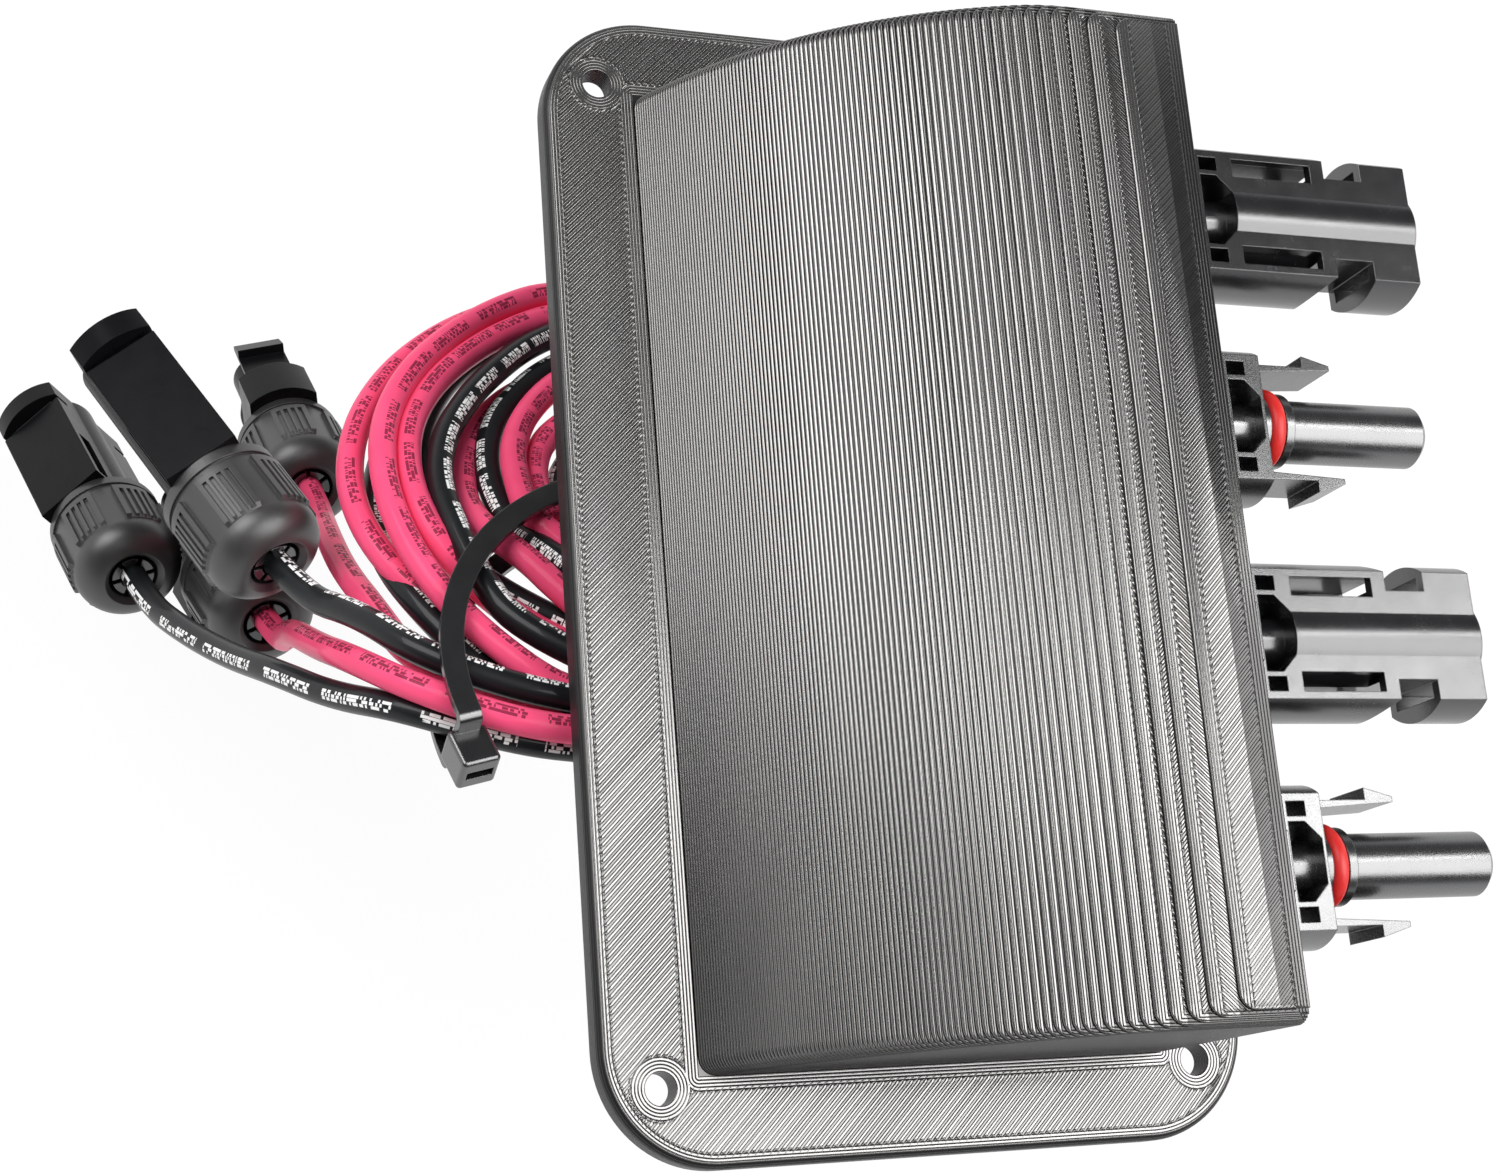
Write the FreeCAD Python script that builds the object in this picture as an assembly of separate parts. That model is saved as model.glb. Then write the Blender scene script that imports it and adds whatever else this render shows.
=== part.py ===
import FreeCAD, Part
import math
import os

from FreeCAD import Placement, Rotation, Vector

# Cable entry box: a printed hood on a screw flange, with two pairs of latching
# connectors in its front face and four leads that leave through its open underside.
# Millimetres. +X points out of the connector face, +Y along the row of connectors, +Z up.
# The origin is the middle of the four-screw pattern, on the plane that the flange seats on.

# Flange
flange_length_x = 95.4
flange_length_y = 165.4
flange_thickness = 4.0
flange_corner_radius = 16.0
flange_edge_radius = 1.2
screw_from_end_x = 8.2
screw_from_end_y = 10.7
screw_hole_diameter = 4.4

# Hood, set in from each end of the flange
hood_from_end_x = 13.5
hood_from_end_y = 12.0
hood_height = 39.1
hood_wall = 3.0
hood_crest_from_face = 4.2
hood_crest_overrun = 5.8
hood_edge_radius = 3.0
cavity_edge_radius = 1.0
cut_margin = 1.0
join_depth = 1.0
same_place = 0.01

# Row of connectors in the face
connector_height = 18.2
connector_pitch = 32.0
connector_kinds = ("shroud", "plug", "shroud", "plug")

# Cross-section shared by the shells of all connectors
shell_flat_half_height = 6.0
shell_flat_half_width = 9.35
shell_half_width = 11.4

# Shroud shell, with distances back from its nose
shroud_length = 36.5
shroud_barrel_radius = 6.75
shroud_barrel_length = 30.65
shroud_barrel_proud = 0.2
mating_bore_diameter = 9.9
mating_bore_depth = 29.5
mating_mouth_diameter = 11.6
mating_mouth_depth = 5.5
finger_channel_inner = 6.6
finger_channel_outer = 8.85
finger_channel_half_height = 4.5
latch_slot_front = 16.7
latch_slot_back = 30.15
latch_slot_inner = 5.5
latch_slot_outer = 8.3
latch_notch_front = 7.9
latch_notch_back = 14.4
latch_notch_inner = 6.5
latch_ramp_length = 4.2

# Back end that both shells have when they are set in the face
rear_web = 0.8
pocket_half_width = 5.5
pocket_chamfer = 2.4
window_inner = 6.2
window_outer = 8.3
window_length = 3.8
rear_barrel_radius = 3.7
pocket_length = 5.85

# Plug shell, with distances forward from the front of its block
plug_block_length = 6.3
plug_tube_diameter = 9.2
plug_tube_reach = 28.5
plug_tube_chamfer = 0.9
plug_bore_diameter = 5.4
collar_radius = 5.5
collar_reach = 5.1
seal_ring_radius = 6.1
seal_ring_width = 2.6
seal_ring_from_block = 2.5
finger_inner = 7.5
finger_thickness = 1.2
finger_half_width = 4.2
finger_reach = 13.0
barb_length = 4.5
barb_height = 1.7
barb_tip_rise = 0.4

# Contacts
pin_diameter = 4.0
pin_short_of_nose = 7.0
socket_outer_diameter = 5.2
socket_bore_diameter = 4.1
socket_short_of_tip = 1.5
socket_depth = 16.0
crimp_diameter = 5.2
bore_clearance = 0.1

# Fixing of the face connectors
seal_thickness = 1.5
seal_diameter = 18.0
collar_thickness = 3.3
hex_flange_thickness = 4.5
hex_across_flats = 14.0
thread_diameter = 12.0
thread_length = 11.5
thread_clearance = 0.15
lock_nut_thickness = 5.0
lock_nut_across_flats = 17.0
face_crimp_back = 54.0

# Gland nut of the end connectors
nut_length = 17.5
nut_radius = 9.0
nut_mouth_radius = 4.1
nut_mouth_rim = 0.9
nut_dome_length = 5.0
nut_dome_middle = (1.4, 7.7)
nut_rim_radius = 9.4
nut_rim_length = 1.8
nut_bore_radius = 7.2
nut_bore_start = 6.0
pad_count = 6
pad_angle = 38.0
pad_rise = 0.65
pad_start = 4.2
pad_end = 14.6
pad_lead_in = 1.2
pad_root = 0.8
rib_count = 4
rib_groove_width = 0.7
rib_groove_depth = 0.45
collet_recess = 0.9
collet_clearance = 0.3
collet_wall = 1.3
collet_slots = 6
collet_slot_width = 0.8
collet_slot_depth = 3.0
end_shell_length = 30.5
end_nose_band = 4.3
end_notch_length = 1.2
end_flank = 9.45
end_block_length = 10.0
end_tube_reach = 17.0
end_stub_length = 9.5
end_stub_clearance = 0.2
end_crimp_back = 40.0

# Leads
lead_diameter = 4.2
arc_share = 0.45
tail_straight = 6.5
face_straight = 10.0
coil_x = -23.0
coil_y = 18.75
coil_z = -27.4
coil_tilt = 24.0
coil_outer_radius = 47.0
coil_inner_radius = 17.5
coil_thickness = 8.8
coil_edge_radius = 2.0

# Strap round the leads: an arc in the coil's plane, from inside the coil to its head
tie_arc_center = (-2.4, -36.6)
tie_arc_radius = 36.4
tie_arc_start = 111.0
tie_arc_end = 195.5
tie_width = 3.4
tie_thickness = 1.1
tie_clearance = 0.6
tie_outer_round = 1.6
tie_inner_round = 0.5
tie_head_width = 5.8
tie_head_length = 5.2
tie_head_height = 5.8
tie_head_edge = 0.7
tie_slot_width = 4.0
tie_slot_height = 1.6
tie_slot_floor = 0.8

# Places of the connectors on the ends of the leads: middle of the nut's mouth,
# direction to the nose and direction of the wide side
end_places = {
    "minus_outer": (Vector(-97.1, 20.5, -83.6), Vector(-0.215, 0.74, -0.635), Vector(-0.68, 0.355, 0.645)),
    "minus_inner": (Vector(-80.9, 9.3, -36.5), Vector(-0.425, 0.805, -0.41), Vector(-0.40, 0.24, 0.885)),
    "plus_inner": (Vector(-66.4, 39.2, -90.9), Vector(-0.10, 0.73, -0.67), Vector(-0.20, 0.64, 0.74)),
    "plus_outer": (Vector(-76.6, 10.6, -74.6), Vector(-0.22, 0.70, -0.68), Vector(0.10, 0.71, 0.70)),
}
end_kinds = {
    "minus_outer": "shroud",
    "minus_inner": "shroud",
    "plus_inner": "plug",
    "plus_outer": "plug",
}
lead_of_row = ("minus_inner", "plus_inner", "minus_outer", "plus_outer")

flange_top = flange_thickness
screw_pitch_x = flange_length_x - 2 * screw_from_end_x
screw_pitch_y = flange_length_y - 2 * screw_from_end_y
hood_length_x = flange_length_x - 2 * hood_from_end_x
hood_length_y = flange_length_y - 2 * hood_from_end_y
face_x = hood_length_x / 2.0
hood_top = flange_top + hood_height
axis_z = flange_top + connector_height
shell_back_x = face_x + seal_thickness + collar_thickness + hex_flange_thickness
row_y = [connector_pitch * ((len(connector_kinds) - 1) / 2 - index) for index in range(len(connector_kinds))]
end_crimp_x = nut_length + end_shell_length - end_crimp_back
lead_radius = lead_diameter / 2.0
block_front_x = shell_back_x + plug_block_length
shroud_nose_x = shell_back_x + shroud_length
face_crimp_x = shroud_nose_x - face_crimp_back
coil_center = Vector(coil_x, coil_y, coil_z)
X_AXIS = Vector(1, 0, 0)
Z_AXIS = Vector(0, 0, 1)


def box(x0, x1, y0, y1, z0, z1):
    """Block between two corners."""
    return Part.makeBox(x1 - x0, y1 - y0, z1 - z0, Vector(x0, y0, z0))


def rod(radius, x0, x1):
    """Cylinder along X."""
    return Part.makeCylinder(radius, x1 - x0, Vector(x0, 0, 0), X_AXIS)


def prism(points, direction):
    """Solid made by moving a closed outline along a direction."""
    return Part.Face(Part.makePolygon(points + points[:1])).extrude(direction)


def turned(profile):
    """Solid turned about X from a closed outline of (x, radius) pairs."""
    points = [Vector(x, radius, 0) for x, radius in profile]
    face = Part.Face(Part.makePolygon(points + points[:1]))
    return face.revolve(Vector(0, 0, 0), X_AXIS, 360)


def rounded_plate(length_x, length_y, radius, z0, height):
    """Plate with round corners, centred on Z."""
    plate = box(-length_x / 2, length_x / 2, -length_y / 2, length_y / 2, z0, z0 + height)
    upright = [edge for edge in plate.Edges if abs(edge.tangentAt(edge.FirstParameter).z) > 1 - same_place]
    return plate.makeFillet(radius, upright)


def hexagon(across_flats, x0, x1):
    """Hexagonal prism along X."""
    radius = across_flats / math.sqrt(3.0)
    corners = [math.radians(60 * step) for step in range(6)]
    points = [Vector(x0, radius * math.cos(a), radius * math.sin(a)) for a in corners]
    return prism(points, Vector(x1 - x0, 0, 0))


def clean(shape):
    """Shape with its split faces joined."""
    return shape.removeSplitter()


# Housing

def crest_block(inset, foot_z):
    """Hood's outline seen along Y, moved inwards by inset, as a solid across Y."""
    half_y = hood_length_y / 2 - inset
    crest_x = face_x - hood_crest_from_face
    run = crest_x + face_x
    semi_x = run + hood_crest_overrun
    semi_z = hood_height / (1 - math.sqrt(1 - (run / semi_x) ** 2))
    center_z = hood_top - semi_z
    inner_x = semi_x - inset
    inner_z = semi_z - inset
    middle = Vector(crest_x, -half_y, center_z)
    along = Vector(crest_x + inner_x, -half_y, center_z)
    above = Vector(crest_x, -half_y, center_z + inner_z)
    sine = (flange_top - center_z) / inner_z
    if inner_x > inner_z:
        ellipse = Part.Ellipse(along, above, middle)
        arc = Part.ArcOfEllipse(ellipse, math.pi / 2, math.pi - math.asin(sine)).toShape()
    else:
        ellipse = Part.Ellipse(above, along, middle)
        arc = Part.ArcOfEllipse(ellipse, 2 * math.pi - math.acos(sine), 2 * math.pi).toShape()
    foot_x = crest_x - inner_x * math.sqrt(1 - sine ** 2)
    top_z = hood_top - inset
    front_x = face_x - inset
    corners = [
        Vector(crest_x, -half_y, top_z),
        Vector(front_x, -half_y, top_z),
        Vector(front_x, -half_y, foot_z),
        Vector(foot_x, -half_y, foot_z),
        Vector(foot_x, -half_y, flange_top),
    ]
    sides = [Part.makeLine(a, b) for a, b in zip(corners, corners[1:]) if (b - a).Length > same_place]
    outline = Part.Wire(Part.sortEdges([arc] + sides)[0])
    return Part.Face(outline).extrude(Vector(0, 2 * half_y, 0))


def crest_edges(solid, half_y):
    """Curved and level edges along the two ends of the hood's crest."""
    found = []
    for edge in solid.Edges:
        on_end = all(abs(abs(v.Y) - half_y) < same_place for v in edge.Vertexes)
        above = all(v.Z > flange_top - same_place for v in edge.Vertexes)
        level = abs(edge.Vertexes[0].X - edge.Vertexes[-1].X) > same_place
        low = all(abs(v.Z - flange_top) < same_place for v in edge.Vertexes)
        if on_end and above and level and not low:
            found.append(edge)
    return found


def make_housing():
    flange = rounded_plate(flange_length_x, flange_length_y, flange_corner_radius, 0, flange_thickness)
    rim = [edge for edge in flange.Edges if all(abs(v.Z - flange_top) < same_place for v in edge.Vertexes)]
    flange = flange.makeFillet(flange_edge_radius, rim)
    hood = crest_block(0.0, flange_top)
    hood = hood.makeFillet(hood_edge_radius, crest_edges(hood, hood_length_y / 2))
    cavity = crest_block(hood_wall, -cut_margin)
    cavity = cavity.makeFillet(cavity_edge_radius, crest_edges(cavity, hood_length_y / 2 - hood_wall))
    housing = flange.fuse(hood).cut(cavity)
    for y in row_y:
        hole_radius = thread_diameter / 2 + thread_clearance
        hole = rod(hole_radius, face_x - hood_wall - cut_margin, face_x + cut_margin)
        housing = housing.cut(hole.translated(Vector(0, y, axis_z)))
    for side_x in (-1, 1):
        for side_y in (-1, 1):
            place = Vector(side_x * screw_pitch_x / 2, side_y * screw_pitch_y / 2, -cut_margin)
            depth = flange_thickness + 2 * cut_margin
            housing = housing.cut(Part.makeCylinder(screw_hole_diameter / 2, depth, place))
    return clean(housing)


# Connector shells, made along X on the axis of the connector

def shell_section(x0, x1):
    """Solid with two flats and two bowed sides, between two planes across X."""
    half_y = shell_flat_half_width
    half_z = shell_flat_half_height
    signs = ((1, -1), (1, 1), (-1, 1), (-1, -1))
    corners = [Vector(x0, y * half_y, z * half_z) for y, z in signs]
    right = Part.Arc(corners[0], Vector(x0, shell_half_width, 0), corners[1])
    left = Part.Arc(corners[2], Vector(x0, -shell_half_width, 0), corners[3])
    top = Part.makeLine(corners[1], corners[2])
    bottom = Part.makeLine(corners[3], corners[0])
    outline = Part.Wire([right.toShape(), top, left.toShape(), bottom])
    return Part.Face(outline).extrude(Vector(x1 - x0, 0, 0))


def rear_cuts(back_x):
    """Pocket with a barrel through it and two windows, at the back of a face shell."""
    tall = 2 * (shell_flat_half_height + cut_margin)
    low = -tall / 2
    start = back_x + rear_web
    front = back_x + pocket_length
    outline = [
        Vector(start, -pocket_half_width, low),
        Vector(front - pocket_chamfer, -pocket_half_width, low),
        Vector(front, pocket_chamfer - pocket_half_width, low),
        Vector(front, pocket_half_width - pocket_chamfer, low),
        Vector(front - pocket_chamfer, pocket_half_width, low),
        Vector(start, pocket_half_width, low),
    ]
    pocket = prism(outline, Vector(0, 0, tall)).cut(rod(rear_barrel_radius, back_x, front))
    tools = [pocket]
    for side in (-1, 1):
        edges = sorted((side * window_inner, side * window_outer))
        tools.append(box(start, back_x + window_length, edges[0], edges[1], low, -low))
    return tools


def latch_notch(nose_x, back_x, is_stepped):
    """Outline of the cut behind the nose that a latch finger springs into, as (x, y) pairs."""
    wide = shell_half_width + cut_margin
    if is_stepped:
        front = nose_x - end_nose_band
        floor = [(back_x - cut_margin, wide), (back_x - cut_margin, end_flank),
                 (front - end_notch_length, end_flank), (front - end_notch_length, latch_notch_inner)]
    else:
        front = nose_x - latch_notch_front
        rear = nose_x - latch_notch_back
        floor = [(rear - latch_ramp_length, wide), (rear, shell_flat_half_width), (rear, latch_notch_inner)]
    return [(front, latch_notch_inner), (front, wide)] + floor


def make_shroud(nose_x, back_x, has_pocket):
    """Shell that the plug slides into, with latch notches in its bowed sides."""
    shell = shell_section(back_x, nose_x)
    barrel_x = max(nose_x - shroud_barrel_length, back_x)
    shell = shell.fuse(rod(shroud_barrel_radius, barrel_x, nose_x + shroud_barrel_proud))
    low = -shell_flat_half_height - cut_margin
    open_x = nose_x + cut_margin
    tools = [
        rod(mating_bore_diameter / 2, nose_x - mating_bore_depth, open_x),
        rod(mating_mouth_diameter / 2, nose_x - mating_mouth_depth, open_x),
    ]
    for side in (-1, 1):
        channel = sorted((side * finger_channel_inner, side * finger_channel_outer))
        half = finger_channel_half_height
        back = max(nose_x - latch_slot_back, back_x + rear_web)
        tools.append(box(back, open_x, channel[0], channel[1], -half, half))
        slot = sorted((side * latch_slot_inner, side * latch_slot_outer))
        front = nose_x - latch_slot_front
        slot_shape = box(back, front, slot[0], slot[1], low, -low)
        tools.append(slot_shape.cut(rod(shroud_barrel_radius, back, front)))
        notch = [Vector(x, side * y, low) for x, y in latch_notch(nose_x, back_x, not has_pocket)]
        tools.append(prism(notch, Vector(0, 0, -2 * low)))
    if has_pocket:
        tools += rear_cuts(back_x)
    return shell.cut(Part.makeCompound(tools))


def finger_blade(block_x, side):
    """Springy latch finger with a barb at its tip."""
    outer = finger_inner + finger_thickness
    tip_x = block_x + finger_reach
    outline = [
        (block_x - join_depth, finger_inner),
        (tip_x, outer - barb_tip_rise),
        (tip_x, outer + barb_tip_rise),
        (tip_x - barb_length, outer + barb_height),
        (tip_x - barb_length, outer),
        (block_x - join_depth, outer),
    ]
    points = [Vector(x, side * y, -finger_half_width) for x, y in outline]
    return prism(points, Vector(0, 0, 2 * finger_half_width))


def make_plug(block_x, back_x, tube_reach, has_pocket):
    """Shell with a tube for the socket, a groove for its seal and two latch fingers."""
    shell = shell_section(back_x, block_x)
    groove_x = block_x + seal_ring_from_block
    groove_half = seal_ring_width / 2
    tube_radius = plug_tube_diameter / 2
    tip_x = block_x + tube_reach
    groove_radius = seal_ring_radius - seal_ring_width
    tube = turned([
        (block_x - join_depth, 0.0),
        (block_x - join_depth, collar_radius),
        (groove_x - groove_half, collar_radius),
        (groove_x - groove_half, groove_radius),
        (groove_x + groove_half, groove_radius),
        (groove_x + groove_half, collar_radius),
        (block_x + collar_reach, collar_radius),
        (block_x + collar_reach, tube_radius),
        (tip_x - plug_tube_chamfer, tube_radius),
        (tip_x, tube_radius - plug_tube_chamfer),
        (tip_x, 0.0),
    ])
    shell = shell.fuse([tube, finger_blade(block_x, 1), finger_blade(block_x, -1)])
    if has_pocket:
        shell = shell.cut(Part.makeCompound(rear_cuts(back_x)))
    return shell.cut(rod(plug_bore_diameter / 2, block_x - join_depth, tip_x + cut_margin))


def make_seal_ring(block_x):
    """Round rubber ring in the groove of the plug's tube."""
    section = seal_ring_width / 2
    center = Vector(block_x + seal_ring_from_block, 0, 0)
    return Part.makeTorus(seal_ring_radius - section, section, center, X_AXIS)


def make_pin(nose_x, crimp_back):
    """Pin contact, with its crimp barrel behind."""
    tip_x = nose_x - pin_short_of_nose
    floor_x = nose_x - mating_bore_depth
    radius = pin_diameter / 2
    return turned([
        (nose_x - crimp_back, 0.0),
        (nose_x - crimp_back, crimp_diameter / 2),
        (floor_x, crimp_diameter / 2),
        (floor_x, radius),
        (tip_x - radius / 2, radius),
        (tip_x, radius / 2),
        (tip_x, 0.0),
    ])


def make_socket(tip_x, back_x):
    """Socket contact, open at its front."""
    front_x = tip_x - socket_short_of_tip
    outer = socket_outer_diameter / 2
    bore = socket_bore_diameter / 2
    return turned([
        (back_x, 0.0),
        (back_x, outer),
        (front_x, outer),
        (front_x, bore),
        (front_x - socket_depth, bore),
        (front_x - socket_depth, 0.0),
    ])


def contact_bore(back_x, front_x):
    """Hole for a crimp barrel."""
    return rod(crimp_diameter / 2 + bore_clearance, back_x, front_x)


def place_on_face(shape, row):
    """Shape moved from the X axis to its place in the row."""
    return shape.translated(Vector(0, row_y[row], axis_z))


def face_connector(kind):
    """Solids of a connector that is clamped in the hood's face, along the X axis."""
    seat_x = face_x + seal_thickness
    hex_x = seat_x + collar_thickness
    thread_radius = thread_diameter / 2
    inside_x = face_x - hood_wall
    thread_end = face_x - thread_length
    back = [
        rod(seal_diameter / 2, seat_x, hex_x),
        hexagon(hex_across_flats, hex_x, shell_back_x),
        rod(thread_radius, thread_end, seat_x),
    ]
    pieces = {}
    if kind == "shroud":
        shell = make_shroud(shroud_nose_x, shell_back_x, True).fuse(back)
        floor_x = shroud_nose_x - mating_bore_depth
        shell = shell.cut(contact_bore(thread_end - cut_margin, floor_x + cut_margin))
        pieces["contact"] = make_pin(shroud_nose_x, face_crimp_back)
    else:
        shell = make_plug(block_front_x, shell_back_x, plug_tube_reach, True).fuse(back)
        shell = shell.cut(contact_bore(thread_end - cut_margin, block_front_x))
        pieces["contact"] = make_socket(block_front_x + plug_tube_reach, face_crimp_x)
        pieces["seal_ring"] = make_seal_ring(block_front_x)
    pieces["shell"] = clean(shell)
    nut_bore = rod(thread_radius + thread_clearance, inside_x - lock_nut_thickness, inside_x)
    nut = hexagon(lock_nut_across_flats, inside_x - lock_nut_thickness, inside_x)
    pieces["lock_nut"] = nut.cut(nut_bore)
    washer = rod(seal_diameter / 2, face_x, seat_x)
    pieces["face_seal"] = washer.cut(rod(thread_radius + thread_clearance, face_x, seat_x))
    return pieces


# Connectors on the ends of the leads, made along X from the mouth of the gland nut

def make_gland_nut():
    """Domed nut with ribbed grip pads round it."""
    dome = Part.Arc(
        Vector(0, nut_mouth_radius + nut_mouth_rim, 0),
        Vector(nut_dome_middle[0], nut_dome_middle[1], 0),
        Vector(nut_dome_length, nut_radius, 0),
    ).toShape()
    corners = [
        Vector(nut_dome_length, nut_radius, 0),
        Vector(nut_length - nut_rim_length, nut_radius, 0),
        Vector(nut_length - nut_rim_length, nut_rim_radius, 0),
        Vector(nut_length, nut_rim_radius, 0),
        Vector(nut_length, nut_bore_radius, 0),
        Vector(nut_bore_start, nut_bore_radius, 0),
        Vector(nut_bore_start, nut_mouth_radius, 0),
        Vector(nut_mouth_rim, nut_mouth_radius, 0),
        Vector(0, nut_mouth_radius + nut_mouth_rim, 0),
    ]
    sides = [Part.makeLine(a, b) for a, b in zip(corners, corners[1:])]
    nut = Part.Face(Part.Wire([dome] + sides)).revolve(Vector(0, 0, 0), X_AXIS, 360)
    pad_outer = nut_radius + pad_rise
    ring = turned([
        (pad_start, nut_radius - pad_root),
        (pad_start + pad_lead_in, pad_outer),
        (pad_end, pad_outer),
        (pad_end, nut_radius - pad_root),
    ])
    half = math.radians(pad_angle / 2)
    reach = 2 * nut_radius
    wedge_y = reach * math.cos(half)
    wedge_z = reach * math.sin(half)
    corners = [(0, 0), (wedge_y, -wedge_z), (wedge_y, wedge_z)]
    wedge = prism([Vector(pad_start, y, z) for y, z in corners], Vector(pad_end - pad_start, 0, 0))
    pad = ring.common(wedge)
    spacing = pad_angle / (rib_count + 1)
    groove_floor = pad_outer - rib_groove_depth
    groove_half = rib_groove_width / 2
    grooves = []
    for step in range(rib_count):
        groove = box(pad_start, pad_end - pad_lead_in, groove_floor, reach, -groove_half, groove_half)
        groove.rotate(Vector(0, 0, 0), X_AXIS, spacing * (step - (rib_count - 1) / 2))
        grooves.append(groove)
    pad = pad.cut(Part.makeCompound(grooves))
    pads = []
    for step in range(pad_count):
        copy = pad.copy()
        copy.rotate(Vector(0, 0, 0), X_AXIS, step * 360 / pad_count)
        pads.append(copy)
    return clean(nut.fuse(pads))


def make_collet():
    """Slotted sleeve that grips the lead in the nut's mouth."""
    inner = lead_radius + bore_clearance
    outer = inner + collet_wall
    flange_x = nut_bore_start + collet_clearance
    flange_radius = nut_bore_radius - collet_clearance
    back_x = nut_length - end_stub_length - collet_clearance
    sleeve = turned([
        (collet_recess, inner),
        (collet_recess, outer),
        (flange_x, outer),
        (flange_x, flange_radius),
        (back_x, flange_radius),
        (back_x, inner),
    ])
    slots = []
    for step in range(collet_slots):
        half = collet_slot_width / 2
        slot = box(collet_recess, collet_recess + collet_slot_depth, 0, 2 * outer, -half, half)
        slot.rotate(Vector(0, 0, 0), X_AXIS, step * 360 / collet_slots)
        slots.append(slot)
    return sleeve.cut(Part.makeCompound(slots))


def end_connector(kind):
    """Solids of a connector on the end of a lead, along the X axis."""
    stub = rod(nut_bore_radius - end_stub_clearance, nut_length - end_stub_length, nut_length)
    pieces = {"gland_nut": make_gland_nut(), "collet": make_collet()}
    if kind == "shroud":
        nose_x = nut_length + end_shell_length
        shell = make_shroud(nose_x, nut_length, False).fuse(stub)
        shell = shell.cut(contact_bore(0, nose_x - mating_bore_depth + cut_margin))
        pieces["contact"] = make_pin(nose_x, end_crimp_back)
    else:
        block_x = nut_length + end_block_length
        tip_x = block_x + end_tube_reach
        shell = make_plug(block_x, nut_length, end_tube_reach, False).fuse(stub)
        shell = shell.cut(contact_bore(0, block_x))
        pieces["contact"] = make_socket(tip_x, end_crimp_x)
        pieces["seal_ring"] = make_seal_ring(block_x)
    pieces["shell"] = clean(shell)
    return pieces


def end_placement(name):
    """Placement that carries the X axis to an end connector's axis."""
    place, axis, wide = end_places[name]
    x_dir = Vector(axis).normalize()
    z_dir = x_dir.cross(wide).normalize()
    return Placement(place, Rotation(x_dir, z_dir.cross(x_dir), z_dir, "XZY"))


# Leads

def coil_place(u, v, height):
    """Point given in the coil's middle plane, from its centre, and its height over that plane."""
    tilt = math.radians(coil_tilt)
    return coil_center + Vector(
        u,
        v * math.cos(tilt) + height * math.sin(tilt),
        height * math.cos(tilt) - v * math.sin(tilt),
    )


def make_coil():
    """Outer shape of the bundled turns of all four leads."""
    low = Vector(0, 0, -coil_thickness / 2)
    ring = Part.makeCylinder(coil_outer_radius, coil_thickness, low)
    ring = ring.cut(Part.makeCylinder(coil_inner_radius, coil_thickness, low))
    ring = ring.makeFillet(coil_edge_radius, [edge for edge in ring.Edges if len(edge.Vertexes) == 1])
    ring.Placement = Placement(coil_center, Rotation(X_AXIS, -coil_tilt))
    return ring


def lead_route(points):
    """Wire of straight runs joined by tangent arcs, and the radius of each arc."""
    edges = []
    radii = []
    start = points[0]
    for before, corner, after in zip(points, points[1:], points[2:]):
        to_corner = corner - before
        from_corner = after - corner
        shorter = min(to_corner.Length, from_corner.Length)
        turn = to_corner.getAngle(from_corner)
        trim = arc_share * shorter
        radius = trim / math.tan(turn / 2)
        radii.append(radius)
        into = Vector(to_corner).normalize()
        out = Vector(from_corner).normalize()
        arc_start = corner - into * trim
        arc_end = corner + out * trim
        bisector = (out - into).normalize()
        sagitta = radius / math.cos(turn / 2) - radius
        edges.append(Part.LineSegment(start, arc_start).toShape())
        edges.append(Part.Arc(arc_start, corner + bisector * sagitta, arc_end).toShape())
        start = arc_end
    edges.append(Part.LineSegment(start, points[-1]).toShape())
    return Part.Wire(edges), radii


def lead_tube(name, points):
    """Round tube along a lead's route, with its length and smallest radius printed."""
    path, radii = lead_route(points)
    first = (points[1] - points[0]).normalize()
    circle = Part.Wire(Part.makeCircle(lead_radius, points[0], first))
    tube = path.makePipeShell([circle], True, True)
    print(name, "length", round(path.Length, 1), "smallest radius", round(min(radii), 1))
    return tube


def inner_points(row):
    """Route of a lead from its contact in the face to the coil."""
    y = row_y[row]
    bends = {
        0: [(3.0, y, 21.4), (-8.5, y - 1.0, 15.5), (-14.5, y - 2.5, 3.5), (-15.5, y - 3.5, -10.5),
            (-14.0, y - 4.0, -25.0), (-12.0, y - 4.5, -41.0)],
        1: [(4.0, y, 21.4), (-7.0, y - 1.5, 16.5), (-12.0, y - 5.0, 5.5), (-10.5, y - 9.0, -7.0),
            (-4.5, y - 12.0, -17.5), (2.0, y - 14.0, -26.5)],
        2: [(4.0, y, 21.4), (-7.0, y + 0.5, 16.0), (-14.0, y + 1.0, 5.5), (-17.5, y + 1.5, -7.0),
            (-19.5, y + 2.0, -18.5)],
        3: [(4.0, y + 1.0, 21.4), (-7.5, y + 5.0, 17.0), (-17.0, y + 11.5, 9.0), (-24.0, y + 18.5, -1.5),
            (-29.5, y + 26.0, -12.5)],
    }
    straight = [Vector(face_crimp_x, y, axis_z), Vector(face_crimp_x - face_straight, y, axis_z)]
    return straight + [Vector(*p) for p in bends[row]]


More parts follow.
